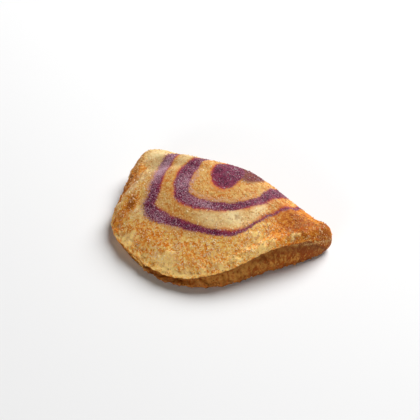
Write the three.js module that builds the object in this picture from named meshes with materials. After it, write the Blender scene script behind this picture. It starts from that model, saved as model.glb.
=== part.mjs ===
// A half-moon turnover: one round sheet of dough folded over a filling and left open along its curved edge.
// Millimetres, +Z up. X runs along the fold, which lies at the back (+Y); the open edge faces the front (-Y).
// The sizes below are measured from the middle of the fold line, and the finished mesh is centred over its base.
import * as THREE from "three";
import { ImprovedNoise } from "three/addons/math/ImprovedNoise.js";

// Driving dimensions.
const LENGTH = 112; // along the fold
const FRONT_REACH = 66.4; // from the fold line to the middle of the open edge
const BACK_REACH = 10; // from the fold line to the back of the roll
const HEIGHT = 29.6; // crown of the dome over the filling
const SHEET = 6.5; // thickness of one layer of dough at the open edge

// Outline seen from above: points on a closed curve, as shares of half the length and of the two reaches.
const OUTLINE = [
  [1.04, 0.25], // right ear
  [0.87, 0.61],
  [0.37, 1],
  [-0.41, 1],
  [-0.895, 0.58],
  [-1.005, 0.03], // left ear
  [-0.83, -0.46],
  [-0.622, -0.77],
  [0.1, -0.97], // middle of the open edge
  [0.514, -0.81],
  [0.79, -0.43],
];
const SPINE_HALF = 30; // the rim's sections point at a spine of this half length
const SPINE_Y = -14;

// The open edge. Directions are in degrees round from the back by way of the left ear.
const RECESS = 4.4; // how far the lower layer falls back under the lip, along the front and right
const PRESSED = 0.5; // and where the two layers are pressed together, at the left and at the right ear
const OPENS_FROM = 138; // directions between which the layers part
const OPENS_TO = 170;
const CLOSES_FROM = 250; // and meet again
const CLOSES_TO = 272;
const DROOP = 6; // how far the upper layer hangs down at the left of the front
const LIFT = 4.4; // and how far it is lifted at the right
const DROOP_AT = 150; // direction of the deepest droop
const DROOP_HALF = 31;
const DROOP_FADE = 80;
const DROOP_INSIDE = 0.4; // share of the droop that is left where the lip meets the dome
const LOWER_OUT = 0.3; // the lower layer stands out this much at the front and right
const LOWER_TUCKED = 1.6; // and is tucked in this much at the left
const TUCKED_TO = 125; // directions between which it comes out
const OUT_FROM = 165;
const SOLE_INSET = 3; // the flat sole ends this much inside the lower layer
const LEFT_EAR = 78; // directions in which the open edge turns into the fold
const RIGHT_EAR = 284;
const EAR_TURN = 12; // degrees on either side over which it turns

// The fold and the dome.
const EAR_LEFT = 17.1; // height of both layers, at the two ends of the fold
const EAR_RIGHT = 13.8;
const SHOULDER_HEIGHT = 25; // of the roll, at the middle of the fold
const ROLL_DEPTH = 7; // from the back of the roll to its shoulder
const BULGE = 0.3; // height of the roll's widest part, as a share of its shoulder's
const EAR_BULGE = 0.55; // and at the two ends of the fold
const EAR_ARC = 80; // degrees that the roll turns before it meets the dome
const MIDDLE_ARC = 48;
const CROWN_X = 7;
const CROWN_Y = -10.4;
const ROUNDNESS = 2; // of the crown
const FALL_FRONT = 1.25; // how soon the dome falls away, by direction
const FALL_EARS = 2.3;
const FALL_BACK = 1.1;
const FALL_FOLD = 2.5; // how soon the fold itself falls away to the ears

// Relief.
const SWELL = 0.7; // slow unevenness of the dome
const SWELL_WAVELENGTH = 24;
const CRUMB = 0.6; // craggy crust near the open edge
const CRUMB_WAVELENGTH = 4.6;
const CRAG_FADE = 12; // the crags die out over this distance before the fold line

// Mesh density.
const RIM_SEGMENTS = 168;
const RIM_ROWS = 17;
const APRON_ROWS = 7; // keep all segments
const FLANK_ROWS = 7; // half of them
const CROWN_ROWS = 5; // a quarter of them

const { smoothstep, lerp, clamp, degToRad, radToDeg } = THREE.MathUtils;
const noise = new ImprovedNoise();

// Noise about a point, from -1 to 1, with features as wide as the wavelength.
function bumps(p, wavelength, seed) {
  const k = 1 / wavelength;
  return noise.noise(p.x * k + seed, p.y * k - seed, p.z * k + 2 * seed);
}

// The outline as evenly spaced points, counter-clockwise from the right ear.
function evenOutline(count) {
  const corners = OUTLINE.map(([x, y]) => {
    const reach = y < 0 ? FRONT_REACH : BACK_REACH;
    return new THREE.Vector3((x * LENGTH) / 2, y * reach, 0);
  });
  const curve = new THREE.CatmullRomCurve3(corners, true, "centripetal");
  curve.arcLengthDivisions = 2000;
  return curve.getSpacedPoints(count).slice(0, count);
}

// Section of the open edge, from the sole to the top of the lip, as [inset, height]. The lower layer leans back
// from its foot to the deepest point of the recess, close under the lip.
function openEdge(droop, lower, recess) {
  const lip = SHEET + 1.2 - droop;
  return [
    [lower + SOLE_INSET, 0],
    [lower + 0.6, lip * 0.08],
    [lower, lip * 0.26],
    [lerp(lower, recess, 0.4), lip * 0.58],
    [lerp(lower, recess, 0.85), lip * 0.86],
    [recess, lip],
    [recess * 0.35, lip + SHEET * 0.14],
    [0, lip + SHEET * 0.45],
    [1.6, lip + SHEET * 0.88],
    [6.5, 2.15 * SHEET + 1.2 - droop * DROOP_INSIDE],
  ];
}

// Section of the folded edge: a roll from the sole over its bulge to its shoulder, the upper part an arc of an
// ellipse. A short arc ends steep and runs on into the dome; a long one ends nearly level.
function foldedEdge(shoulder, bulge, arc) {
  const section = [
    [SOLE_INSET + 1, 0],
    [1.7, bulge * 0.3],
    [0.5, bulge * 0.62],
    [0, bulge],
  ];
  const end = degToRad(arc);
  for (let k = 1; k <= 6; k++) {
    const angle = (end * k) / 6;
    const inset = (ROLL_DEPTH * (1 - Math.cos(angle))) / (1 - Math.cos(end));
    section.push([inset, bulge + ((shoulder - bulge) * Math.sin(angle)) / Math.sin(end)]);
  }
  return section;
}

// One section of the rim at a point of the outline, as points in space.
function rimSection(edge) {
  const round = (radToDeg(Math.atan2(edge.y - SPINE_Y, edge.x)) + 270) % 360;
  const closed =
    1 - smoothstep(round, LEFT_EAR - EAR_TURN, LEFT_EAR + EAR_TURN) *
    (1 - smoothstep(round, RIGHT_EAR - EAR_TURN, RIGHT_EAR + EAR_TURN));
  const parted = smoothstep(round, OPENS_FROM, OPENS_TO) * (1 - smoothstep(round, CLOSES_FROM, CLOSES_TO));
  const droop = lerp(DROOP, -LIFT, smoothstep(Math.abs(round - DROOP_AT), DROOP_HALF, DROOP_HALF + DROOP_FADE));
  const lower = lerp(LOWER_TUCKED, -LOWER_OUT, smoothstep(round, TUCKED_TO, OUT_FROM));
  const across = clamp(edge.x / (LENGTH / 2), -1, 1);
  const ear = lerp(EAR_LEFT, EAR_RIGHT, (across + 1) / 2);
  const halfFold = LENGTH / 2 + (edge.x < CROWN_X ? CROWN_X : -CROWN_X);
  const fromCrown = clamp((edge.x - CROWN_X) / halfFold, -1, 1);
  const middle = (1 - fromCrown ** 2) ** FALL_FOLD;
  const shoulder = lerp(ear, SHOULDER_HEIGHT, middle);
  const roll = foldedEdge(shoulder, shoulder * lerp(EAR_BULGE, BULGE, middle), lerp(EAR_ARC, MIDDLE_ARC, middle));
  const inward = new THREE.Vector2(clamp(edge.x, -SPINE_HALF, SPINE_HALF), SPINE_Y).sub(edge).normalize();
  const open = openEdge(droop, lower, lerp(PRESSED, RECESS, parted));
  const control = roll.map(([inset, height], i) => {
    const d = lerp(open[i][0], inset, closed);
    const z = lerp(open[i][1], height, closed);
    return new THREE.Vector3(edge.x + inward.x * d, edge.y + inward.y * d, z);
  });
  return new THREE.CatmullRomCurve3(control, false, "centripetal").getPoints(RIM_ROWS - 1);
}

// A point of the top surface between the lip or shoulder (share 1) and the crown (share 0). Its way in starts
// square to the spine and bends towards the crown.
function domePoint(shoulder, share) {
  const spine = new THREE.Vector2(clamp(shoulder.x, -SPINE_HALF, SPINE_HALF), SPINE_Y);
  const inward = spine.clone().sub(shoulder).normalize();
  const ear = inward.x ** 2 * smoothstep(-inward.y, -1, 0.4);
  const behind = smoothstep(-inward.y, -0.3, 0.9);
  const fall = lerp(lerp(FALL_FRONT, FALL_BACK, behind), FALL_EARS, ear);
  const rise = (1 - share ** ROUNDNESS) ** fall;
  return new THREE.Vector3(
    lerp(lerp(CROWN_X, spine.x, share), shoulder.x, share),
    lerp(lerp(CROWN_Y, spine.y, share), shoulder.y, share),
    lerp(shoulder.z, HEIGHT, rise),
  );
}

// All the rows of points, from the sole's edge up over the rim to the crown.
function buildRows() {
  const sections = evenOutline(RIM_SEGMENTS).map(rimSection);
  const rows = [];
  for (let r = 0; r < RIM_ROWS; r++) rows.push(sections.map((section) => section[r]));
  const shoulders = rows[RIM_ROWS - 1];
  const inner = APRON_ROWS + FLANK_ROWS + CROWN_ROWS;
  for (let r = 1; r <= inner; r++) {
    const share = 1 - r / (inner + 1);
    const step = r <= APRON_ROWS ? 1 : r <= APRON_ROWS + FLANK_ROWS ? 2 : 4;
    rows.push(shoulders.filter((_, i) => i % step === 0).map((p) => domePoint(p, share)));
  }
  return rows;
}

// Joins two closed rows of points with triangles, where one row may hold fewer points.
function stitch(lower, upper, triangles) {
  let i = 0;
  let j = 0;
  while (i < lower.count || j < upper.count) {
    const a = lower.start + (i % lower.count);
    const b = upper.start + (j % upper.count);
    if (j >= upper.count || (i < lower.count && (i + 0.5) / lower.count <= (j + 0.5) / upper.count)) {
      triangles.push(a, lower.start + ((i + 1) % lower.count), b);
      i++;
    } else {
      triangles.push(a, upper.start + ((j + 1) % upper.count), b);
      j++;
    }
  }
}

function turnoverGeometry() {
  const rows = buildRows();
  const points = rows.flat();
  const triangles = [];
  const spans = [];
  let start = 0;
  for (const row of rows) {
    spans.push({ start, count: row.length });
    start += row.length;
  }
  for (let r = 1; r < spans.length; r++) stitch(spans[r - 1], spans[r], triangles);
  // The sole and the crown close the two ends.
  const first = spans[0];
  const last = spans[spans.length - 1];
  const sole = points.push(new THREE.Vector3(0, SPINE_Y - 6, 0)) - 1;
  const crown = points.push(new THREE.Vector3(CROWN_X, CROWN_Y, HEIGHT)) - 1;
  for (let i = 0; i < first.count; i++) triangles.push(first.start + ((i + 1) % first.count), first.start + i, sole);
  for (let i = 0; i < last.count; i++) triangles.push(last.start + i, last.start + ((i + 1) % last.count), crown);

  const geometry = new THREE.BufferGeometry().setFromPoints(points);
  geometry.setIndex(triangles);
  addRelief(geometry, first.count);
  return geometry;
}

// Moves each point above the sole along its normal: slow swells everywhere, crags near the rim.
function addRelief(geometry, soleCount) {
  geometry.computeVertexNormals();
  const position = geometry.getAttribute("position");
  const normal = geometry.getAttribute("normal");
  const p = new THREE.Vector3();
  const n = new THREE.Vector3();
  for (let i = soleCount; i < position.count; i++) {
    p.fromBufferAttribute(position, i);
    if (p.z === 0) continue;
    n.fromBufferAttribute(normal, i);
    const fromCrown = Math.hypot((p.x - CROWN_X) / (LENGTH / 2), (p.y - CROWN_Y) / FRONT_REACH);
    const craggy = smoothstep(fromCrown, 0.45, 0.8) * (1 - smoothstep(p.y, -CRAG_FADE, 0));
    const swell = SWELL * bumps(p, SWELL_WAVELENGTH, 3.1);
    const crumb = CRUMB * craggy * (bumps(p, CRUMB_WAVELENGTH, 7.7) + 0.5 * bumps(p, CRUMB_WAVELENGTH / 2, 1.3));
    p.addScaledVector(n, swell + crumb);
    position.setXYZ(i, p.x, p.y, Math.max(p.z, 0.05));
  }
  geometry.computeBoundingBox();
  const centre = geometry.boundingBox.getCenter(new THREE.Vector3());
  geometry.translate(-centre.x, -centre.y, 0);
  geometry.computeVertexNormals();
}

const crust = new THREE.MeshStandardMaterial({ color: 0xd29a4e, roughness: 0.75, metalness: 0 });
const turnover = new THREE.Mesh(turnoverGeometry(), crust);
turnover.name = "turnover";

const model = new THREE.Group();
model.add(turnover);
export default model;
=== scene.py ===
# %% [markdown]
# A berry-striped turnover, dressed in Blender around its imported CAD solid.
# The solid gives the true form: a sheet of dough folded at the back, domed over its filling
# and open along the curved front edge. What is still missing is everything that makes it look
# baked: crumbs, cracks, browning, two berry stripes and a dusting of sugar.
# We make those as real geometry where they change the outline or catch the light,
# and as a procedural material where they only change the colour.

# %% Load the frame
import math

import bmesh
import bpy
import numpy as np
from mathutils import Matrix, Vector, noise
from mathutils.bvhtree import BVHTree


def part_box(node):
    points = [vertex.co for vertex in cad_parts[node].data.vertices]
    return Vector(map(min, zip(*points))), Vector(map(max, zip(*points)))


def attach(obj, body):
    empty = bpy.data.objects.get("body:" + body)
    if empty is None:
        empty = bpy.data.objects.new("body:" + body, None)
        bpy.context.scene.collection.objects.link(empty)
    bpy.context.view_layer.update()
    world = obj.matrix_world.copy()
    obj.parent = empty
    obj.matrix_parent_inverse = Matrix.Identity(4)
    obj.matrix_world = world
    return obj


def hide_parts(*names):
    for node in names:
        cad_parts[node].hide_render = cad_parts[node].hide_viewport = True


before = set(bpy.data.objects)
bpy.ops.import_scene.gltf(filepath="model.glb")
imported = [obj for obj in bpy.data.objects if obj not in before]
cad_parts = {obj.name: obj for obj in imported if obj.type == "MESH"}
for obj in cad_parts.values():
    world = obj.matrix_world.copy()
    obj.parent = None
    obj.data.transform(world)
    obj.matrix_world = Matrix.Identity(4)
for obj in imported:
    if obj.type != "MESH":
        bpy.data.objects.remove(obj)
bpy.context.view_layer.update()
MM = 0.001  # everything below is given in millimetres and turned into metres with this
low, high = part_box("turnover")
print("CAD box in mm:", [round(v / MM, 1) for v in (*low, *high)])

# %% [markdown]
# A baker's photograph on white needs three things: a pale floor, a soft light and the right camera.
# The standard view keeps colours as they are written, which makes them easy to compare with a
# real pastry. The default film-like view would wash the purple and the browns out.

# %% Colours as a baker would point at them on a screen
def srgb(red, green, blue):
    """A screen colour, 0 to 255, as the linear colour that Blender mixes light with."""
    linear = []
    for value in (red, green, blue):
        c = value / 255
        linear.append(c / 12.92 if c <= 0.04045 else ((c + 0.055) / 1.055) ** 2.4)
    return (*linear, 1.0)


bpy.context.scene.view_settings.view_transform = "Standard"
print("golden dough in linear light:", [round(c, 3) for c in srgb(204, 153, 88)])

# %% [markdown]
# The floor is one large plane just under the pastry, like white card on a table. A backdrop
# that curves up behind would do as well, but the camera looks down and never sees an edge.
# It is stage, not part of the object.

# %% Floor
FLOOR_SIZE = 6.0  # metres, so that its edge is never seen
CARD_WHITE = 0.83  # share of the light that the card gives back


def make_floor():
    mesh = bpy.data.meshes.new("floor")
    half = FLOOR_SIZE / 2
    corners = [(-half, -half, 0), (half, -half, 0), (half, half, 0), (-half, half, 0)]
    mesh.from_pydata(corners, [], [(0, 1, 2, 3)])
    floor = bpy.data.objects.new("floor", mesh)
    bpy.context.scene.collection.objects.link(floor)
    paper = bpy.data.materials.new("white_paper")
    paper.use_nodes = True
    shader = paper.node_tree.nodes["Principled BSDF"]
    shader.inputs["Base Color"].default_value = (CARD_WHITE, CARD_WHITE, CARD_WHITE, 1)
    shader.inputs["Roughness"].default_value = 0.9
    shader.inputs["Specular IOR Level"].default_value = 0.1
    mesh.materials.append(paper)
    return floor


print("floor made:", make_floor().name, FLOOR_SIZE, "m wide")

# %% [markdown]
# The key light stands high behind the fold, so the shadow falls towards the camera and the
# lower layer lies in the shade of the lip. Its size sets how soft the shadow's edge is.
# A low, weaker light in front fills the open edge without washing out the shadow on the
# floor, because it only grazes the floor. The sky is left weak for the same reason.

# %% Lights
SKY_STRENGTH = 0.03
AIM = Vector((2.1, 4.5, 15.1)) * MM  # the point in the middle of the picture


def seen_from(azimuth, elevation, distance):
    """A place around the aim: azimuth 0 is in front, 90 to the right, 180 behind the fold."""
    a = math.radians(azimuth)
    e = math.radians(elevation)
    away = Vector((math.sin(a) * math.cos(e), -math.cos(a) * math.cos(e), math.sin(e)))
    return AIM + away * distance


def point_at(thing, place):
    thing.location = place
    thing.rotation_euler = (Vector(place) - AIM).to_track_quat("Z", "Y").to_euler()


def soft_light(name, place, size, brightness):
    """A round light. Brightness 1 shows a white card that faces it as just white."""
    light = bpy.data.lights.new(name, "AREA")
    light.shape = "DISK"
    light.size = size
    light.energy = brightness * math.pi ** 2 * (place - AIM).length_squared
    lamp = bpy.data.objects.new(name, light)
    bpy.context.scene.collection.objects.link(lamp)
    point_at(lamp, place)
    return lamp


soft_light("key", seen_from(azimuth=174, elevation=44, distance=1.6), size=1.1, brightness=1.69)
soft_light("fill", seen_from(azimuth=12, elevation=8, distance=1.5), size=0.8, brightness=0.62)
world = bpy.data.worlds.new("sky")
world.use_nodes = True
sky = world.node_tree.nodes["Background"]
sky.inputs["Color"].default_value = (1, 1, 1, 1)
sky.inputs["Strength"].default_value = SKY_STRENGTH
bpy.context.scene.world = world

# %% [markdown]
# A long lens from 60 cm keeps the far corner almost as large as the near one, as in the
# reference picture. The lens follows from the width of table that the picture shows.

# %% Camera
CAMERA_AZIMUTH = 36.0  # degrees round from the front
CAMERA_ELEVATION = 37.5
CAMERA_DISTANCE = 0.6
PICTURE_WIDTH = 0.2049  # metres of table across the picture, at the pastry
SENSOR = 36.0

camera_data = bpy.data.cameras.new("camera")
camera_data.sensor_width = SENSOR
camera_data.lens = SENSOR * CAMERA_DISTANCE / PICTURE_WIDTH
camera = bpy.data.objects.new("camera", camera_data)
bpy.context.scene.collection.objects.link(camera)
point_at(camera, seen_from(CAMERA_AZIMUTH, CAMERA_ELEVATION, CAMERA_DISTANCE))
bpy.context.scene.camera = camera
print("lens in mm:", round(camera_data.lens, 1))

# %% [markdown]
# The CAD solid has flat facets a millimetre or two across. Baked dough has crumbs smaller
# than that, so it needs a much finer skin. We copy the solid, weld it, round its facets with
# one subdivision, and rebuild it as an even net of small quads with a voxel remesh.
# An even net matters, because the crumbs are going to move its points one by one.

# %% A fine, even skin over the solid
SKIN_MM = 0.48  # side of one quad
WELD_MM = 0.002  # corners closer than this are one corner
SMOOTH_PASSES = 6


def fine_copy(source, name):
    mesh = source.data.copy()
    weld = bmesh.new()
    weld.from_mesh(mesh)
    bmesh.ops.remove_doubles(weld, verts=weld.verts, dist=WELD_MM * MM)
    weld.to_mesh(mesh)
    weld.free()
    rough = bpy.data.objects.new(name + "_rough", mesh)
    bpy.context.scene.collection.objects.link(rough)
    rounding = rough.modifiers.new("rounding", "SUBSURF")
    rounding.levels = 1
    net = rough.modifiers.new("net", "REMESH")
    net.mode = "VOXEL"
    net.voxel_size = SKIN_MM * MM
    relax = rough.modifiers.new("relax", "SMOOTH")
    relax.factor = 0.5
    relax.iterations = SMOOTH_PASSES
    bpy.context.view_layer.update()
    ready = rough.evaluated_get(bpy.context.evaluated_depsgraph_get())
    fine = bpy.data.meshes.new_from_object(ready)
    fine.name = name
    bpy.data.objects.remove(rough)
    body = bpy.data.objects.new(name, fine)
    bpy.context.scene.collection.objects.link(body)
    fine.materials.clear()
    fine.polygons.foreach_set("use_smooth", np.ones(len(fine.polygons), bool))
    return body


crust = fine_copy(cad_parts["turnover"], "baked_crust")
print("quads in the skin:", len(crust.data.polygons))

# %% [markdown]
# From here on the skin is easiest to think of as a cloud of points in millimetres, each with
# a direction that points out of the dough. A modifier could move them too, but in plain
# arrays we can ask each point where it lies before we move it. Two helpers read the points
# and directions, one writes them back, and the rest make soft steps and seeded noise.

# %% Points and directions of the skin
def read_points(obj):
    flat = np.empty(len(obj.data.vertices) * 3)
    obj.data.vertices.foreach_get("co", flat)
    return flat.reshape(-1, 3) / MM


def read_normals(obj):
    flat = np.empty(len(obj.data.vertices) * 3)
    obj.data.vertex_normals.foreach_get("vector", flat)
    return flat.reshape(-1, 3)


def write_points(obj, points):
    obj.data.vertices.foreach_set("co", (points * MM).ravel())
    obj.data.update()


def ramp(value, start, end):
    """Goes smoothly from 0 at start to 1 at end."""
    t = np.clip((value - start) / (end - start), 0, 1)
    return t * t * (3 - 2 * t)


SEED_APART = 17.3  # how far apart in the noise two seeds lie


def bumps(points, wavelength, seed):
    """Smooth random hills, from about -1 to 1, as wide as the wavelength in millimetres."""
    spots = points / wavelength + SEED_APART * seed
    return np.array([noise.noise(spot) for spot in spots.tolist()])


def rough_bumps(points, wavelength, seed, octaves=3):
    """Hills with smaller hills on them, each layer half as wide and half as high."""
    total = np.zeros(len(points))
    for octave in range(octaves):
        total += bumps(points, wavelength / 2 ** octave, seed + octave) / 2 ** octave
    return total


points = read_points(crust)
normals = read_normals(crust)
print("points:", len(points), "height in mm:", round(points[:, 2].max(), 1))

# %% [markdown]
# Where things are on the pastry. The plan is seen from above, in millimetres, with the fold
# at the back. How far a point is from the open edge tells us whether it belongs to the
# craggy border or to the smooth dome. The skin has no line to measure from, so we take the
# farthest point in each of 360 directions as its outline, which is quick and close enough.

# %% Distance in from the outline
DIRECTIONS = 360  # one for each degree round the middle


def by_direction(points):
    """The number of the direction in which each point lies."""
    around = np.arctan2(points[:, 1], points[:, 0])
    return ((around + math.pi) / (2 * math.pi) * DIRECTIONS).astype(int) % DIRECTIONS


def highest_round(direction, values, neighbours):
    """The highest value in each direction, averaged over an odd number of neighbours."""
    best = np.zeros(DIRECTIONS)
    np.maximum.at(best, direction, values)
    half = neighbours // 2
    wrapped = np.concatenate([best[-half:], best, best[:half]])
    return np.convolve(wrapped, np.ones(neighbours) / neighbours, mode="valid")


direction = by_direction(points)
reach = np.hypot(points[:, 0], points[:, 1])
rim_reach = highest_round(direction, reach, neighbours=5)[direction]
inset = rim_reach - reach
print("reach of the outline in mm:", round(rim_reach.min(), 1), "to", round(rim_reach.max(), 1))

# %% [markdown]
# The craggy border follows the cut edge of the sheet: along the open edge and over both ears.
# The dome and the fold were never cut, so they stay smooth. Each region is a number from 0
# to 1 for every point, with soft ends, so that one finish can fade into the next.

# %% The craggy border
is_front = 1 - ramp(points[:, 1], 12, 26)  # 1 along the open edge, 0 along the fold
left_end = (1 - ramp(points[:, 0], -50, -41)) * (1 - ramp(points[:, 1], 6, 18))
right_end = ramp(points[:, 0], 37, 45)
along_edge = (1 - ramp(inset, 9, 20)) * (0.35 + 0.65 * is_front)
border = np.maximum(along_edge, 0.9 * np.maximum(left_end, right_end))
faces_up = ramp(normals[:, 2], -0.1, 0.35)
print("share of the skin in the craggy border:", round(float(border.mean()), 2))

# %% [markdown]
# Under the lip, the lower layer needs its own look, browner and darker, and the lip rises and
# falls along the edge. So we ask each point near the edge whether anything hangs over it, with
# a ray straight up, and keep the height of the highest covered point in each direction.

# %% Height of the lip in every direction
RAY_START = 0.15  # how far off the skin a ray starts, so that it doesn't hit its own point
LEFT_FRONT = 70  # two directions to print
RIGHT_FRONT = 150


def hidden_from_above(obj, points, normals, candidates):
    """Which of the candidates have skin straight above them."""
    tree = BVHTree.FromObject(obj, bpy.context.evaluated_depsgraph_get())
    up = Vector((0, 0, 1))
    covered = np.zeros(len(points), bool)
    for k in np.flatnonzero(candidates):
        start = Vector(((points[k] + RAY_START * normals[k]) * MM).tolist())
        covered[k] = tree.ray_cast(start, up)[0] is not None
    return covered


off_the_sole = normals[:, 2] > -0.75
by_the_edge = (inset < 9) & (points[:, 1] < 26)
covered = hidden_from_above(crust, points, normals, off_the_sole & by_the_edge)
lip_height = highest_round(direction[covered], points[covered, 2], neighbours=9)
lip = lip_height[direction]
print("lip height in mm at the left:", round(lip_height[LEFT_FRONT], 1),
      "and at the right:", round(lip_height[RIGHT_FRONT], 1))

# %% [markdown]
# With the lip's height known, we can say which points lie on the lower layer, which in the
# hollow between the layers, and which on the edge of the lip. The lip shades that hollow, and
# we paint the shade in as a darker brown. At the left of the front the layers were pressed
# together before baking, so nothing is open there.

# %% Lower layer, painted shade under the lip, and lip edge
below_lip = ramp(lip - points[:, 2], -0.4, 0.5)
lower_layer = below_lip * (1 - ramp(inset, 7, 10)) * ramp(lip, 1.0, 2.0)
pressed = 1 - ramp(points[:, 0], -14, -4)
share_of_lip = points[:, 2] / np.maximum(lip, 1)
# the upper part of the open lower layer, under the lip: its colour is darkened there as painted shade
recess_shade = lower_layer * (1 - pressed) * ramp(share_of_lip, 0.3, 0.85)
near_lip = 1 - ramp(np.abs(points[:, 2] - lip - 1.6), 1.0, 3.0)
lip_edge = near_lip * (1 - ramp(inset, 2.5, 6)) * is_front
print("points on the lower layer:", int((lower_layer > 0.5).sum()),
      "and in the recess:", int((recess_shade > 0.5).sum()))

# %% [markdown]
# The berry stripes are rings that were painted on the flat sheet before it was folded, so
# from above they run as two horseshoes round a spot at the fold, and pass over the fold.
# Each one is a smooth curve through a few chosen places, with its own width at each place.
# For every point of the skin we keep how deep it lies inside the stripe, and on which side
# of the curve it is, because the two edges of a stripe differ: one is crisp with a red rim,
# where the paint ran into the dough, and the other is rubbed to a lilac haze.

# %% Stripe curves
OUTER_STRIPE = [  # x, y and width, from the fold at the left round the front to the fold at the right
    (-33.5, 40, 6.5), (-34, 25, 6.8), (-33.5, 17, 6.4), (-31, 10, 6.0), (-27.8, 3.5, 5.6),
    (-24, -4.5, 5.4), (-21.6, -10, 5.4), (-19.8, -15.2, 5.6), (-14, -17.5, 5.4), (-6, -17.8, 4.8),
    (0, -17.4, 4.4), (7, -16.8, 3.5), (14, -15.3, 2.9), (21, -12.6, 2.6), (26.3, -9.4, 2.3),
    (29.2, -4, 1.7), (31.2, 2.5, 1.4), (33, 10, 1.3), (35, 16.5, 1.4), (36.5, 21, 1.8),
    (36.4, 28, 2.0), (36.2, 40, 2.0),
]
INNER_STRIPE = [
    (-17.2, 40, 4.5), (-17.0, 27, 5.2), (-16.9, 21, 6.8), (-16.8, 15, 8.4), (-15.7, 10, 8.8),
    (-13.9, 4.5, 8.4), (-11.4, -1, 7.8), (-7.4, -5.0, 7.0), (-1, -6.1, 6.0), (5, -5.3, 5.4),
    (10.5, -3.6, 5.2), (16, -0.7, 4.6), (20.6, 3, 4.2), (23.8, 8, 4.0), (25.8, 13, 4.4),
    (27.0, 18, 5.2), (27.4, 24, 6.0), (26.8, 31, 6.2), (26.4, 40, 6.0),
]
CURVE_STEPS = 12  # short straight pieces between two chosen places


def smooth_through(places, steps):
    """A Catmull-Rom curve through the places, with any number of values at each."""
    places = np.array(places, float)
    padded = np.concatenate([[2 * places[0] - places[1]], places, [2 * places[-1] - places[-2]]])
    rows = []
    for k in range(len(places) - 1):
        a, b, c, d = padded[k:k + 4]
        for t in np.arange(steps) / steps:
            rows.append(0.5 * (2 * b + (c - a) * t + (2 * a - 5 * b + 4 * c - d) * t ** 2
                               + (3 * b - a - 3 * c + d) * t ** 3))
    rows.append(places[-1])
    return np.array(rows)


def depth_inside(plan, stripe):
    """How far each plan point lies inside the stripe's edge; below 0 it is outside."""
    curve = smooth_through(stripe, CURVE_STEPS)
    best = np.full(len(plan), -99.0)
    side = np.zeros(len(plan))
    for start, end in zip(curve[:-1], curve[1:]):
        along = end[:2] - start[:2]
        t = np.clip(((plan - start[:2]) @ along) / (along @ along), 0, 1)
        nearest = start[:2] + t[:, None] * along
        gap = plan - nearest
        inside = (start[2] + t * (end[2] - start[2])) / 2 - np.hypot(gap[:, 0], gap[:, 1])
        closer = inside > best
        best = np.where(closer, inside, best)
        turn = along[0] * gap[:, 1] - along[1] * gap[:, 0]
        side = np.where(closer, np.sign(turn), side)
    return best, side


# The painted edge wanders a little, as a brush or a cut sheet of coloured dough would.
WANDER = ((0.55, 6.0, (1, 3)), (0.22, 2.2, (2, 4)))  # how far, over what length, seeds across and along

plan = points[:, :2].copy()
for amount, wavelength, seeds in WANDER:
    for axis, seed in enumerate(seeds):
        plan[:, axis] += amount * bumps(points, wavelength, seed)
outer_depth, outer_side = depth_inside(plan, OUTER_STRIPE)
inner_depth, inner_side = depth_inside(plan, INNER_STRIPE)
print("points in the outer stripe:", int((outer_depth > 0).sum()),
      "and in the inner one:", int((inner_depth > 0).sum()))

# %% [markdown]
# The spot in the middle is an oval that runs out in a browner stain over the fold. Its edge
# is one formula, so no curve is needed. At the left of the front the outer stripe has no
# clear outer edge: the paint fades out over a few millimetres, which we get by stretching
# the depth there.

# %% Spot, stain and fringe
SPOT = (2.3, 19.2, 8.4, 12.8)  # x, y and the two half-widths
STAIN = (10.0, 28.0, 7.6, 11.0)
LEAN = 0.3  # both lean to the left towards the fold
FRINGE = 0.5  # how fast the paint fades at the left, where 1 is as crisp as elsewhere
FRINGE_FROM = 0.4  # and how deep inside the stripe the fading starts


def depth_in_oval(plan, oval):
    x, y, half_x, half_y = oval
    upright = plan[:, 0] - x + LEAN * (plan[:, 1] - y)
    share = np.hypot(upright / half_x, (plan[:, 1] - y) / half_y)
    return (1 - share) * min(half_x, half_y)


spot_depth = depth_in_oval(plan, SPOT)
stain_depth = depth_in_oval(plan, STAIN)
fringe = 1 - (1 - FRINGE) * (1 - ramp(points[:, 0], -12, 0))
stretched = FRINGE_FROM + fringe * (outer_depth - FRINGE_FROM)
outer_soft = np.where((outer_side < 0) & (outer_depth < FRINGE_FROM), stretched, outer_depth)
berry_depth = np.maximum.reduce([outer_soft, inner_depth, spot_depth])
print("points inside the spot:", int((spot_depth > 0).sum()))

# %% [markdown]
# Much of what follows sits at a certain place: haze, blisters, pale lumps, cracks. We write
# each kind down as a short list of soft round spots and let one helper turn a list into a
# number for every point. Painting by hand would be quicker to do, but slower to change.

# %% Soft round spots
def soft_spots(points, spots):
    """The strongest of some spots, each with its place, two half-widths and a strength."""
    total = np.zeros(len(points))
    for x, y, half_x, half_y, strength in spots:
        share = ((points[:, 0] - x) / half_x) ** 2 + ((points[:, 1] - y) / half_y) ** 2
        total = np.maximum(total, strength * np.exp(-share))
    return total


print("soft spots ready")

# %% [markdown]
# The two edges of a stripe differ. Along one edge the juice ran into the dough and baked to a
# red rim, under 2 mm wide. Along the other the paint was rubbed to a lilac haze. Both follow
# from the depth and the side that we kept, and noise breaks them up so that neither looks
# drawn with a ruler.

# %% Red rims and lilac haze
RIM_WIDTH = 1.7
HAZE_WIDTH = 3.6
HAZE_SPOTS = [  # x, y, half-width, half-depth, strength
    (-9, 5, 8, 9, 1.6), (-6, -1, 6, 5, 1.4), (5, 0, 9, 4, 1.1), (18, 5, 7, 4, 0.6),
    (-37, 6, 6, 14, 1.6), (-28, -10, 8, 10, 1.8), (-12, -20, 22, 3, 0.5),
]
RUBBED_PAINT = [
    (-32, 8, 7, 16, 1.7), (-11, 2, 6, 6, 0.9), (3, -5, 12, 3, 0.9), (-12, 14, 4, 6, 0.4),
    (-12, -18, 8, 4, 0.5),
]


def near_edge_of(depth, width):
    return ramp(depth, -width, -0.2 * width)


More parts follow.
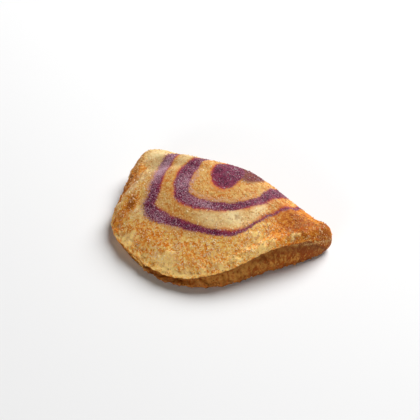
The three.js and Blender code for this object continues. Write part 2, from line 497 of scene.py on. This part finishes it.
outer_rim = near_edge_of(outer_depth, RIM_WIDTH) * np.where(outer_side > 0, 1, 0.15)
inner_rim = near_edge_of(inner_depth, RIM_WIDTH) * np.where(inner_side < 0, 1, 0.3)
spot_rim = near_edge_of(spot_depth, RIM_WIDTH) * (1 - ramp(stain_depth, -2.0, 0.5))
patchy = 0.35 + 0.65 * ramp(bumps(points, 5.0, 14), -0.3, 0.3)
red_rim = np.maximum.reduce([outer_rim, inner_rim, spot_rim]) * patchy
ripples = 0.9 * rough_bumps(points, 3.0, 15, 2)
inner_haze = near_edge_of(inner_depth + ripples, HAZE_WIDTH) * (inner_side > 0)
outer_haze = near_edge_of(outer_depth + 0.5 * ripples, 0.8 * HAZE_WIDTH) * (outer_side < 0)
haze = np.clip(np.maximum(inner_haze, outer_haze) * soft_spots(points, HAZE_SPOTS), 0, 1)
rubbed_paint = soft_spots(points, RUBBED_PAINT) - 0.3 * ramp(spot_depth, 0, 2)
print("points in the haze:", int((haze > 0.2).sum()))

# %% [markdown]
# Browning. An oven browns what stands out and what is thin: the rim, the ears and a few
# blisters. Slow noise pushes the spots about, so that their edges are ragged.

# %% Browned places
BROWN_SPOTS = [  # x, y, half-width, half-depth, strength
    (-31, -15.5, 3.8, 2.8, 2.2), (-33, -12.5, 2.8, 2.6, 1.7),  # the blister
    (47, 18, 12, 15, 1.72), (55, 24, 6, 10, 1.75), (41, 8, 6, 6, 0.9),  # right ear
    (-50, 2, 7, 15, 1.6), (-47, -11, 6, 7, 0.8), (-55, 16, 4, 10, 0.8),  # left ear
    (-34, -22.5, 5, 4.5, 1.25), (-14, -27, 18, 7, 0.5),  # front left
    (18, -26, 16, 7, 0.4), (30, -10, 8, 6, 0.25),  # front right
    (4, 1.5, 9, 2.2, 0.25), (8, 2, 9, 3, 0.25), (4, 12, 16, 8, 0.15), (-25, 10, 4, 12, 0.35),  # dome
    (10, 34, 40, 8, 0.5),  # fold
]
RAGGED = 1.6  # how far the noise pushes a spot's edge
RAGGED_LENGTH = 3.4

ragged = points.copy()
for axis, seed in enumerate((11, 12)):
    ragged[:, axis] += RAGGED * bumps(points, RAGGED_LENGTH, seed)
browned = soft_spots(ragged, BROWN_SPOTS)
print("share of the skin that is well browned:", round(float((browned > 1).mean()), 3))

# %% [markdown]
# Pale places are where the oven did little: lumps of dough that flaked up along the lip, and
# the cream-coloured bands of smooth dough between the stripes, with hairline cracks in them.
# The large lumps have their own places, and noise scatters small ones along the rim.

# %% Pale lumps, cream bands and cracks
PALE_PATCHES = [  # x, y, half-width, half-depth, strength
    (5, -33, 4.4, 3.2, 1.2), (4, -35.8, 4, 1.6, 0.9), (-21.5, -29.6, 3.8, 2.8, 1.2),
    (-16, -29, 2.4, 1.2, 0.7), (11, -35.8, 2.6, 1.6, 1.1), (16, -34.4, 3.4, 1.8, 1.2),
    (24, -29.8, 3, 1.6, 1.1), (30, -23.4, 3, 1.5, 1.0), (34.5, -3.0, 2.2, 3.0, 1.1),
    (40, -6, 2.2, 2.8, 1.1), (42, -0.5, 1.4, 1.2, 0.9), (48, 9.4, 1.6, 2.6, 0.8),
    (49, 11.5, 1.4, 2, 0.7), (-28, -28.5, 2, 1.6, 0.7), (38, 2.5, 1.4, 1.8, 0.5),
    (-7, -36.5, 3, 1.3, 0.6),
]
CRACKED = [(20, -4, 9, 5, 1.0), (21, 10.5, 5, 3, 1.0), (8, 1, 9, 3, 0.7), (-45, 20, 8, 8, 0.2)]
CREAM_BAND = [
    (21, -3.5, 8, 5, 0.9), (28, 8, 3, 9, 0.7), (13, -9.5, 8, 3.5, 0.6), (-46, 24, 8, 9, 0.9),
    (-40, 12, 5, 12, 0.6), (-25, 22, 4, 14, 0.6), (-22, -16, 7, 5, 0.5),
]

near_rim = np.maximum(lip_edge, 0.6 * border * (1 - ramp(inset, 4, 10)))
scattered = ramp(bumps(points, 3.2, 13), 0.08, 0.4) * near_rim * (1 - 0.8 * np.clip(browned, 0, 1))
flaked = ramp(np.maximum(soft_spots(ragged, PALE_PATCHES), scattered), 0.28, 0.75) * faces_up
cream = soft_spots(points, CREAM_BAND)
print("share of the skin that is flaked:", round(float(flaked.mean()), 3))

# %% [markdown]
# Now the relief: distances in millimetres, added up, by which each point will move along its
# direction. The dome carries shallow pores. The border is a bed of small round crumbs, made
# with a noise whose hills are rounded and whose valleys are sharp, and towards the rim the
# crumbs clot into lumps of a few millimetres that make the outline ragged. Moving real
# points, and not only shading them, is what makes the edge look broken from every side.

# %% Crumbs and lumps
SLOW_HILLS = 0.2
PORES = 0.09
CRUMBS = 0.13
CLOTS = 0.24
RIM_LUMPS = 1.05


def cushions(points, wavelength, seed):
    """Rounded hills with sharp valleys between them, like crumbs lying side by side."""
    return 1 - 2.4 * np.abs(bumps(points, wavelength, seed))


crumb = 0.6 * cushions(points, 2.1, 22) + 0.4 * cushions(points, 1.1, 23)
clot = 0.6 * cushions(points, 6.0, 24) + 0.4 * cushions(points, 3.4, 26)
lump = 0.6 * cushions(points, 3.6, 27) + 0.4 * bumps(points, 8.5, 28)
at_rim = (1 - ramp(inset, 2.5, 7)) * (0.25 + 0.75 * is_front)
at_foot = lower_layer * (1 - ramp(points[:, 2], 1.5, 4))
slow_hills = SLOW_HILLS * rough_bumps(points, 14, 20, 2)
pores = PORES * rough_bumps(points, 1.7, 21, 2)
crumbs = CRUMBS * (0.18 + 0.82 * border) * (1 - 0.6 * flaked) * (crumb - 0.35)
clots = CLOTS * (0.3 + 0.1 * border + 0.6 * at_rim) * (1 - 0.5 * lower_layer) * (clot - 0.35)
rim_lumps = RIM_LUMPS * at_rim * (1 - 0.75 * lower_layer + 0.9 * at_foot) * (lump - 0.12)
print("highest crumb and lump in mm:", round(float(crumbs.max()), 2), round(float(rim_lumps.max()), 2))

# %% [markdown]
# A flake stands up a little from the crust, paint that soaked in leaves the stripes a hair
# lower, and a crack is a thin valley. Cracks run along the bands, so their noise is stretched
# along x before we keep only the narrow strip where it crosses zero.

# %% Flakes, stripes and cracks
FLAKE_RISE = 0.34
STRIPE_SINK = 0.08
CRACK_DEPTH = 0.25
CRACK_STRETCH = np.array([0.35, 1.0, 1.0])

flakes = FLAKE_RISE * flaked * (1 + 0.2 * bumps(points, 1.2, 25))
sink = -STRIPE_SINK * ramp(berry_depth, -0.6, 0.4)
veins = ramp(1 - np.abs(bumps(points * CRACK_STRETCH, 3.2, 31)) * 9, 0.1, 0.9)
cracks = veins * soft_spots(points, CRACKED) * ramp(bumps(points, 5, 32), -0.1, 0.3)
print("points in a crack:", int((cracks > 0.3).sum()))

# %% [markdown]
# Where the layers are pressed together there is no overhang, so we also push the lower layer
# out until its side falls straight from the lip and leans in a little on its way down. That
# push goes away from the middle, not along the surface, which would fold the skin. The sole
# stays flat, because a baking tray pressed it flat, and nothing may sink below the tray.

# %% Moving the points
PRESSED_IN = 0.7  # how far inside the lip the pressed side starts
PRESSED_LEAN = 0.35  # and how much it leans in for each millimetre down

off_sole = ramp(normals[:, 2], -0.97, -0.7)
relief = slow_hills + pores + crumbs + clots + rim_lumps + flakes + sink - CRACK_DEPTH * cracks
relief = relief * off_sole
side_reach = rim_reach - PRESSED_IN - PRESSED_LEAN * (lip - points[:, 2])
push = (side_reach - reach) * lower_layer * pressed * off_sole
outward = points[:, :2] / np.maximum(reach, 1)[:, None]
shaped = points + normals * relief[:, None]
shaped[:, :2] += outward * push[:, None]
shaped[:, 2] = np.maximum(shaped[:, 2], 0)
write_points(crust, shaped)
print("relief in mm, lowest and highest:", round(float(relief.min()), 2), round(float(relief.max()), 2))

# %% [markdown]
# The material can't see our lists, so we hand it the numbers point by point, as attributes.
# An attribute travels with the mesh, needs no unwrapped UVs, and the node tree can read it
# by name. Two of them are new: the brown sides, and the pale seam at the right ear, where
# the two layers meet.

# %% Attributes
SEAM_TOP = 11.2  # height of the seam
SEAM_Y = 14  # where it has that height
SEAM_FALL = 0.28  # and how much it falls for each millimetre towards the fold


def store(obj, name, values):
    layer = obj.data.attributes.new(name, "FLOAT", "POINT")
    layer.data.foreach_set("value", np.asarray(values, np.float32))


side_face = 1 - ramp(normals[:, 2], -0.85, -0.35)
ear_side = ramp(points[:, 0], 40, 50) * (1 - ramp(points[:, 2], 5, 9))
off_seam = np.abs(points[:, 2] - SEAM_TOP + SEAM_FALL * (points[:, 1] - SEAM_Y))
seam = ramp(points[:, 0], 44, 49) * (1 - ramp(off_seam, 0.5, 1.4))
seam = seam * ramp(points[:, 1], 6, 12) * (1 - ramp(normals[:, 2], 0.5, 0.8))
shaded_side = np.maximum.reduce([side_face, lower_layer * (1 - pressed), 0.7 * ear_side])
for name, values in (
    ("berry", np.clip(berry_depth, -4, 5)), ("stain", ramp(stain_depth, -1.2, 1.5)),
    ("red_rim", red_rim), ("haze", haze), ("rubbed_paint", rubbed_paint),
    ("browned", browned), ("flaked", flaked * (1 - lower_layer)), ("cream", cream),
    ("cracks", cracks), ("border", border), ("crumb", crumb),
    ("seam", seam), ("recess_shade", recess_shade), ("foot", at_foot), ("shaded_side", shaded_side),
):
    store(crust, name, values)
print("attributes:", [a.name for a in crust.data.attributes if not a.is_internal])

# %% [markdown]
# Building node trees by hand is wordy, so a small helper class keeps each recipe readable:
# every method adds one node and returns its output socket.

# %% A short way to write node trees
MIX_SHARE = 0  # a mix node has sockets for numbers and for colours; these are for colours
MIX_FIRST = 6
MIX_SECOND = 7
MIX_RESULT = 2


class Recipe:
    def __init__(self, name):
        self.material = bpy.data.materials.new(name)
        self.material.use_nodes = True
        self.tree = self.material.node_tree
        self.shader = self.tree.nodes["Principled BSDF"]
        self.place = self.tree.nodes.new("ShaderNodeTexCoord").outputs["Object"]

    def put(self, socket, value):
        if isinstance(value, bpy.types.NodeSocket):
            self.tree.links.new(value, socket)
        else:
            socket.default_value = value

    def read(self, name):
        node = self.tree.nodes.new("ShaderNodeAttribute")
        node.attribute_name = name
        return node.outputs["Fac"]

    def grain(self, size_mm, detail=2.0, roughness=0.5):
        """Noise with features about size_mm across, from 0 to 1."""
        node = self.tree.nodes.new("ShaderNodeTexNoise")
        node.inputs["Scale"].default_value = 1 / (size_mm * MM)
        node.inputs["Detail"].default_value = detail
        node.inputs["Roughness"].default_value = roughness
        self.put(node.inputs["Vector"], self.place)
        return node.outputs["Fac"]

    def calc(self, kind, a, b=0.0, c=0.0):
        node = self.tree.nodes.new("ShaderNodeMath")
        node.operation = kind
        for socket, value in zip(node.inputs, (a, b, c)):
            self.put(socket, value)
        return node.outputs["Value"]

    def times(self, a, b):
        return self.calc("MULTIPLY", a, b)

    def weighted(self, *terms, start=0.0):
        """The start value, plus each other value times its weight."""
        total = start
        for value, weight in terms:
            total = self.calc("MULTIPLY_ADD", value, weight, total)
        return total

    def span(self, value, start, end, low=0.0, high=1.0):
        """Carries value from start..end to low..high, smoothly and held at both ends."""
        node = self.tree.nodes.new("ShaderNodeMapRange")
        node.interpolation_type = "SMOOTHSTEP"
        for name, number in (("From Min", start), ("From Max", end), ("To Min", low), ("To Max", high)):
            self.put(node.inputs[name], number)
        self.put(node.inputs["Value"], value)
        return node.outputs["Result"]

    def mix(self, share, first, second):
        node = self.tree.nodes.new("ShaderNodeMix")
        node.data_type = "RGBA"
        self.put(node.inputs[MIX_SHARE], share)
        self.put(node.inputs[MIX_FIRST], first)
        self.put(node.inputs[MIX_SECOND], second)
        return node.outputs[MIX_RESULT]

    def tint(self, share, first, second):
        """Multiplies the first colour by the second, which keeps the grain of the first."""
        result = self.mix(share, first, second)
        result.node.blend_type = "MULTIPLY"
        return result

    def bump(self, height, depth_mm, strength=1.0):
        node = self.tree.nodes.new("ShaderNodeBump")
        node.inputs["Strength"].default_value = strength
        node.inputs["Distance"].default_value = depth_mm * MM
        self.put(node.inputs["Height"], height)
        return node.outputs["Normal"]


print("recipe helper ready")

# %% [markdown]
# The crust material works from the plain dough up, as the pastry was made: dough, browning,
# berry paint, flakes, and last the sides and the sole. Each layer is mixed over the one
# before by a share that comes from an attribute, and grain breaks up every share, so that no
# edge is clean. All layers use the same three grains, because on a real crust one crumb
# carries dough, browning and paint together.

# %% The grains of the crust
class CrustRecipe(Recipe):
    def __init__(self, name):
        super().__init__(name)
        self.fine = self.grain(0.75, 3, 0.6)  # sugar-sized
        self.medium = self.grain(1.8, 3, 0.6)  # crumb-sized
        self.slow = self.grain(11, 2)  # patches
        self.both = self.calc("ADD", self.fine, self.medium)


print("crust grains ready")

# %% [markdown]
# Plain dough. On the dome the grain is close, tan and gold. In the border the crumbs are open:
# yellow on top, orange in the gaps between them, with a few nearly white. The cream bands
# are laid over both.

# %% Dough
GAP_ORANGE = srgb(232, 154, 54)
CRUMB_YELLOW = srgb(246, 205, 114)
GAP_TAN = srgb(192, 128, 60)
GOLD = srgb(205, 159, 90)
PALE_GRAIN = srgb(246, 222, 176)
CREAM = srgb(244, 222, 168)


def dough_colour(r):
    border = r.read("border")
    height = r.weighted((r.medium, 1.15), (r.read("crumb"), 0.2), (r.fine, 0.85))
    open_grain = r.mix(r.span(height, 0.84, 1.28), GAP_ORANGE, CRUMB_YELLOW)
    close_grain = r.mix(r.span(r.both, 0.78, 1.18), GAP_TAN, GOLD)
    dough = r.mix(r.span(border, 0.0, 0.7, 0.15, 0.85), close_grain, open_grain)
    pale = r.times(r.span(r.fine, 0.55, 0.66), r.span(border, 0.0, 1.0, 0.35, 0.75))
    dough = r.mix(pale, dough, PALE_GRAIN)
    band = r.times(r.read("cream"), r.span(r.fine, 0.3, 0.6, 0.75, 1.0))
    return r.mix(band, dough, CREAM)


print("dough, in linear light:", [round(c, 2) for c in GOLD[:3]])

# %% [markdown]
# Browning. Mixing in one brown would hide the grain, so we multiply instead: each of two
# stages takes away most of the blue, less of the green and little of the red, as sugar and
# flour do when they brown. It bites first in the low places of the noise, so that it looks
# toasted and not sprayed.

# %% Browning
TOASTED = (0.88, 0.52, 0.18, 1)  # what is left of each colour after the first stage
DARKENED = (0.53, 0.4, 0.3, 1)  # and after the second


def toasted(r, dough):
    fine_lows = r.calc("SUBTRACT", 0.5, r.fine)
    medium_lows = r.calc("SUBTRACT", 0.5, r.medium)
    toast = r.weighted(
        (r.read("cream"), -0.5), (r.slow, 0.35), (fine_lows, 1.6), (medium_lows, 1.8),
        start=r.read("browned"),
    )
    golden = r.tint(r.span(toast, 0.1, 0.9), dough, TOASTED)
    return r.tint(r.span(toast, 0.8, 1.9), golden, DARKENED)


print("red, green and blue left after both stages:",
      [round(a * b, 2) for a, b in zip(TOASTED[:3], DARKENED[:3])])

# %% [markdown]
# Berry paint. Under it go the haze and the red rim, which reach out past its edge. The paint
# itself is mottled dark and light, with rubbed places where sugar shows through as a pale
# lilac speckle, and it turns crimson just inside the rim. The stain beside the spot is the
# same paint, baked browner.

# %% Berry paint
BERRY = srgb(122, 38, 68)
DARK_BERRY = srgb(72, 18, 46)
BERRY_SUGAR = srgb(206, 164, 176)
STAIN_SHADE = (0.78, 0.7, 0.4, 1)
RIM_CRIMSON = srgb(166, 46, 56)
RIM_ORANGE = srgb(210, 108, 48)
HAZE = srgb(190, 142, 136)


def berry_colour(r, depth, rim):
    berry = r.mix(r.span(r.both, 0.84, 1.1), DARK_BERRY, BERRY)
    speckle = r.weighted((r.read("rubbed_paint"), 0.12), start=r.grain(0.5, 3, 0.65))
    berry = r.mix(r.span(speckle, 0.53, 0.67, 0.0, 0.8), berry, BERRY_SUGAR)
    just_inside = r.times(rim, r.span(depth, 1.7, 0.2, 0.0, 0.7))
    return r.mix(just_inside, berry, RIM_CRIMSON)


def painted(r, baked):
    rim = r.read("red_rim")
    hazy = r.times(r.read("haze"), r.span(r.both, 0.9, 1.12, 0.0, 0.85))
    baked = r.mix(hazy, baked, HAZE)
    baked = r.mix(r.times(rim, r.span(r.both, 0.85, 1.15, 0.25, 0.85)), baked, RIM_ORANGE)
    depth = r.weighted((r.calc("SUBTRACT", r.fine, 0.5), 3.0), start=r.read("berry"))
    berry = berry_colour(r, depth, rim)
    stained = r.times(r.read("stain"), r.span(r.medium, 0.3, 0.6, 0.85, 1.0))
    baked = r.mix(stained, baked, r.tint(1.0, berry, STAIN_SHADE))
    return r.mix(r.span(depth, -0.5, 0.55), baked, berry)


print("berry paint, in linear light:", [round(c, 3) for c in BERRY[:3]])

# %% [markdown]
# Flakes lie on top of everything, so they come after the paint: pale yellow, hardly browned.
# Cracks show a browner crumb.

# %% Flakes and cracks
FLAKE = srgb(246, 208, 128)
CRACK_BROWN = srgb(150, 96, 52)


def flaked_and_cracked(r, baked):
    baked = r.mix(r.times(r.read("cracks"), 0.6), baked, CRACK_BROWN)
    return r.mix(r.times(r.read("flaked"), r.span(r.both, 0.75, 1.0, 0.6, 1.0)), baked, FLAKE)


print("flake, in linear light:", [round(c, 2) for c in FLAKE[:3]])

# %% [markdown]
# The sole and the lower layer lay on the hot tray and kept no sugar. They are a deep, blotchy
# brown, darkest at the foot. Under the lip the brown is darker still, which is painted shade
# in the hollow. At the right ear a pale seam marks where the two layers meet.

# %% Sides and sole
SIDE_BROWN = srgb(194, 130, 56)
SIDE_DARK = srgb(136, 62, 14)
SIDE_CRUMB = srgb(206, 152, 76)
FOOT_BROWN = srgb(122, 54, 14)
# the colour of the painted shade in the hollow under the lip
RECESS_SHADE_BROWN = srgb(104, 60, 26)
SEAM_PALE = srgb(190, 148, 92)


def browned_sides(r, baked):
    blotches = r.weighted((r.slow, 0.6), (r.fine, 0.6), start=r.medium)
    side = r.mix(r.span(blotches, 0.95, 1.25), SIDE_DARK, SIDE_BROWN)
    side = r.mix(r.span(r.fine, 0.56, 0.66, 0.0, 0.6), side, SIDE_CRUMB)
    side = r.mix(r.times(r.read("foot"), r.span(r.medium, 0.4, 0.6, 0.3, 0.9)), side, FOOT_BROWN)
    on_side = r.times(r.read("shaded_side"), r.span(r.fine, 0.3, 0.6, 0.65, 1.0))
    baked = r.mix(on_side, baked, side)
    # painted shade: the top of the lower layer, under the lip, is mixed towards a dark brown
    baked = r.mix(r.times(r.read("recess_shade"), 0.6), baked, RECESS_SHADE_BROWN)
    return r.mix(r.times(r.read("seam"), r.span(r.both, 0.88, 1.12, 0.0, 0.8)), baked, SEAM_PALE)


print("side brown, in linear light:", [round(c, 2) for c in SIDE_BROWN[:3]])

# %% [markdown]
# What is left is how the crust takes the light. Baked dough is dull, with a faint gloss on the
# crumb tops, and light goes about a millimetre into it, red light the deepest. The bump adds
# the grain that is too fine for our points.

# %% Crust material
GLOSS = 0.12
LIGHT_INSIDE = 0.12  # share of the light that goes into the dough
LIGHT_REACH = (1.0, 0.5, 0.25)  # of red, green and blue
LIGHT_REACH_MM = 1.5
BUMP_MM = 0.18


def crust_material():
    r = CrustRecipe("sugared_crust")
    baked = toasted(r, dough_colour(r))
    baked = flaked_and_cracked(r, painted(r, baked))
    r.put(r.shader.inputs["Base Color"], browned_sides(r, baked))
    r.put(r.shader.inputs["Roughness"], r.span(r.fine, 0.35, 0.7, 0.7, 0.48))
    r.put(r.shader.inputs["Specular IOR Level"], GLOSS)
    r.put(r.shader.inputs["Subsurface Weight"], LIGHT_INSIDE)
    r.put(r.shader.inputs["Subsurface Radius"], LIGHT_REACH)
    r.put(r.shader.inputs["Subsurface Scale"], LIGHT_REACH_MM * MM)
    grain = r.weighted((r.medium, 0.4), start=r.fine)
    r.put(r.shader.inputs["Normal"], r.bump(grain, BUMP_MM, 0.5))
    return r.material


crust.data.materials.append(crust_material())
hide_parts("turnover")
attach(crust, "root")
print("nodes in the crust material:", len(crust.data.materials[0].node_tree.nodes))

# %% [markdown]
# Sugar. Caster sugar is a crystal about 0.4 mm across, and thousands of them lie on the top,
# half sunk in the crust. Painted dots would lie flat, and particles aren't real geometry,
# so we make one joined mesh: a plain block, copied, turned and stretched by seeded random
# numbers, and set on random faces of the skin. A face's odds are its area times a choice.

# %% Picking places on the skin
def face_data(obj):
    mesh = obj.data
    count = len(mesh.polygons)
    centre = np.empty(count * 3)
    mesh.polygons.foreach_get("center", centre)
    normal = np.empty(count * 3)
    mesh.polygons.foreach_get("normal", normal)
    area = np.empty(count)
    mesh.polygons.foreach_get("area", area)
    first = np.empty(count, int)
    mesh.polygons.foreach_get("loop_start", first)
    corner = np.empty(len(mesh.loops), int)
    mesh.loops.foreach_get("vertex_index", corner)
    return centre.reshape(-1, 3) / MM, normal.reshape(-1, 3), area, corner[first]


face_centre, face_normal, face_area, face_corner = face_data(crust)


def pick_faces(count, odds, rng):
    share = face_area * np.maximum(odds, 0)
    return rng.choice(len(share), size=count, p=share / share.sum())


print("faces to pick from:", len(face_centre))

# %% [markdown]
# Thousands of objects would be slow to make and to move, so all the grains are one object:
# we work out every corner of every grain in one go and write them into one mesh. Turns made
# from random quaternions favour no direction, which three random angles would.

# %% Joined grains
BLOCK = np.array([(x, y, z) for z in (-1, 1) for y in (-1, 1) for x in (-1, 1)], float) / 2
BLOCK_FACES = np.array([(0, 2, 3, 1), (4, 5, 7, 6), (0, 1, 5, 4), (2, 6, 7, 3), (0, 4, 6, 2), (1, 3, 7, 5)])


def random_turns(count, rng):
    """Random rotation matrices, from random quaternions."""
    q = rng.normal(size=(count, 4))
    q /= np.linalg.norm(q, axis=1)[:, None]
    w, x, y, z = q.T
    rows = [
        [1 - 2 * (y * y + z * z), 2 * (x * y - w * z), 2 * (x * z + w * y)],
        [2 * (x * y + w * z), 1 - 2 * (x * x + z * z), 2 * (y * z - w * x)],
        [2 * (x * z - w * y), 2 * (y * z + w * x), 1 - 2 * (x * x + y * y)],
    ]
    return np.array(rows).transpose(2, 0, 1)


def joined_mesh(name, shape, faces, places, turns, sizes):
    """One mesh of many copies of a shape, each turned, stretched and set at its place."""
    count = len(places)
    corners = np.einsum("nij,nkj->nki", turns, shape[None] * sizes[:, None, :]) + places[:, None, :]
    loops = faces[None] + (np.arange(count) * len(shape))[:, None, None]
    corner_list = (corners.reshape(-1, 3) * MM).tolist()
    face_list = loops.reshape(-1, faces.shape[1]).tolist()
    mesh = bpy.data.meshes.new(name)
    mesh.from_pydata(corner_list, [], face_list)
    mesh.update()
    obj = bpy.data.objects.new(name, mesh)
    bpy.context.scene.collection.objects.link(obj)
    return obj


print("block corners:", len(BLOCK), "and faces:", len(BLOCK_FACES))

# %% [markdown]
# Sugar is strewn from above, so it lies on faces that look up, in clumps, and thickest on the
# open crumb of the border. The lower layer has none. Each choice here is a factor of the odds.

# %% Sugar grains
SUGAR_GRAINS = 4800
SUGAR_SIZE = (0.24, 0.44)
SUGAR_STRETCH = (0.7, 1.25)
SUGAR_PROUD = 0.02  # how far a grain's middle stands off the skin

rng = np.random.default_rng(7)
face_lean = face_normal[:, 2] + 0.5 * right_end[face_corner]  # the right ear's side has some too
top_faces = ramp(face_lean, 0.05, 0.5) * ramp(face_centre[:, 2], 5, 9)
clumps = 0.25 + ramp(rough_bumps(face_centre, 7, 41, 2), -0.3, 0.6)
melted = 0.3 * np.clip(browned, 0, 1)  # some sugar melts where the crust browns most
sugar_stays = 1 - np.maximum(lower_layer, melted)[face_corner]
sugar_odds = top_faces * clumps * sugar_stays * (0.3 + border[face_corner])
chosen = pick_faces(SUGAR_GRAINS, sugar_odds, rng)
sizes = rng.uniform(*SUGAR_SIZE, size=(SUGAR_GRAINS, 1))
sizes = sizes * rng.uniform(*SUGAR_STRETCH, size=(SUGAR_GRAINS, 3))
jitter = rng.uniform(-0.5, 0.5, size=(SUGAR_GRAINS, 3)) * SKIN_MM
flat = 1 - np.abs(face_normal[chosen])  # the jitter stays within the face
places = face_centre[chosen] + jitter * flat + face_normal[chosen] * SUGAR_PROUD
sugar = joined_mesh("sugar_grains", BLOCK, BLOCK_FACES, places, random_turns(SUGAR_GRAINS, rng), sizes)
print("sugar grains:", SUGAR_GRAINS, "triangles:", len(sugar.data.polygons) * 2)

# %% [markdown]
# Sugar is clear, so a small crystal takes on the colour of what it lies on, only paler: honey
# on the dough, lilac on the berry paint, caramel where the crust is brown. Real glass would
# need many light bounces for the same look, so we tell each grain what it lies on and give
# it that colour. Low roughness adds the glints.

# %% Sugar material
HONEY = (srgb(226, 172, 100), srgb(248, 226, 180))
CARAMEL = srgb(206, 132, 56)
LILAC = srgb(186, 140, 152)
SUGAR_IOR = 1.54

berry_near = np.maximum(berry_depth, stain_depth)[face_corner[chosen]]
on_berry = ramp(berry_near, -0.5, 0.3)
on_brown = 0.55 * np.clip(browned, 0, 1)[face_corner[chosen]]
store(sugar, "on_berry", np.repeat(on_berry, len(BLOCK)))
store(sugar, "on_brown", np.repeat(on_brown, len(BLOCK)))


def sugar_material():
    r = Recipe("sugar")
    honey = r.mix(r.span(r.grain(3.0), 0.35, 0.65), *HONEY)
    on_dough = r.mix(r.read("on_brown"), honey, CARAMEL)
    r.put(r.shader.inputs["Base Color"], r.mix(r.read("on_berry"), on_dough, LILAC))
    r.put(r.shader.inputs["Roughness"], r.span(r.grain(1.2), 0.3, 0.7, 0.2, 0.45))
    r.put(r.shader.inputs["IOR"], SUGAR_IOR)
    r.put(r.shader.inputs["Subsurface Weight"], 0.2)
    r.put(r.shader.inputs["Subsurface Radius"], (MM, MM, MM))
    return r.material


sugar.data.materials.append(sugar_material())
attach(sugar, "root")
print("grains on the paint:", int((on_berry > 0.5).sum()))

# %% [markdown]
# Crust crumbs. Where the sheet was cut, bits of dough stand up and bake into hard little
# knobs, a millimetre or so across. They break the outline of the lip and of the foot. Our
# relief can't overhang, so the knobs are a mesh of their own: one ball with a dented
# surface, copied, stretched, turned and half sunk, like the sugar but larger and rounder.

# %% A dented ball
DENT_DEPTH = 0.45  # as a share of the radius
DENT_SIZE = 3.1  # dents to a ball's width


def dented_ball(rings, seed):
    ball = bmesh.new()
    bmesh.ops.create_icosphere(ball, subdivisions=rings, radius=0.5)
    for vert in ball.verts:
        dent = noise.noise(vert.co * DENT_SIZE + Vector((seed, 0, 0)))
        vert.co *= 1 + DENT_DEPTH * dent
    shape = np.array([tuple(vert.co) for vert in ball.verts])
    faces = np.array([[corner.index for corner in face.verts] for face in ball.faces])
    ball.free()
    return shape, faces


knob_shape, knob_faces = dented_ball(2, 5.0)
print("triangles in a knob:", len(knob_faces))

# %% [markdown]
# Most knobs sit along the lip, fewer round the foot, and a stray one on the border. The odds
# say where, and the seeded draws go on from those of the sugar.

# %% Knobs
KNOBS = 420
KNOB_SIZE = (0.5, 1.25)
KNOB_STRETCH = (0.6, 1.2)
KNOB_SUNK = 0.12
KNOB_LOWEST = 0.75  # height of the lowest knob's middle, so that none goes through the tray

at_lip = (lip_edge * (1 - pressed * 0.3))[face_corner] * ramp(face_normal[:, 2], -0.5, 0.2)
at_ground = at_foot[face_corner] * ramp(face_centre[:, 2], 0.4, 1.0)
knob_odds = at_lip + 0.5 * at_ground + 0.02 * border[face_corner] * top_faces
chosen = pick_faces(KNOBS, knob_odds, rng)
sizes = rng.uniform(*KNOB_SIZE, size=(KNOBS, 1)) * rng.uniform(*KNOB_STRETCH, size=(KNOBS, 3))
places = face_centre[chosen] - KNOB_SUNK * face_normal[chosen]
places[:, 2] = np.maximum(places[:, 2], KNOB_LOWEST)
knobs = joined_mesh("crust_knobs", knob_shape, knob_faces, places, random_turns(KNOBS, rng), sizes)
knobs.data.polygons.foreach_set("use_smooth", np.ones(len(knobs.data.polygons), bool))
print("knobs:", KNOBS, "triangles:", len(knobs.data.polygons))

# %% [markdown]
# Knobs are baked dough like the rest: pale where they stand free on the lip and brown round
# the foot. Each one has its own tone, kept as an attribute, so that one material serves all.

# %% Knob material
DARK_KNOB = (srgb(150, 84, 28), srgb(198, 132, 56))
PALE_KNOB = (srgb(216, 164, 84), srgb(240, 208, 140))

tone = rng.uniform(0.4, 1, KNOBS) * (1 - 0.9 * lower_layer[face_corner[chosen]])
store(knobs, "tone", np.repeat(tone, len(knob_shape)))


def knob_material():
    r = Recipe("crust_knob")
    fine = r.grain(0.5, 2)
    dark = r.mix(r.span(fine, 0.35, 0.65), *DARK_KNOB)
    pale = r.mix(r.span(fine, 0.35, 0.65), *PALE_KNOB)
    r.put(r.shader.inputs["Base Color"], r.mix(r.span(r.read("tone"), 0.15, 0.7), dark, pale))
    r.put(r.shader.inputs["Roughness"], r.span(fine, 0.3, 0.7, 0.7, 0.5))
    r.put(r.shader.inputs["Specular IOR Level"], 0.2)
    r.put(r.shader.inputs["Normal"], r.bump(fine, 0.1, 0.6))
    return r.material


knobs.data.materials.append(knob_material())
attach(knobs, "root")
print("pale knobs:", int((tone > 0.5).sum()), "of", KNOBS)
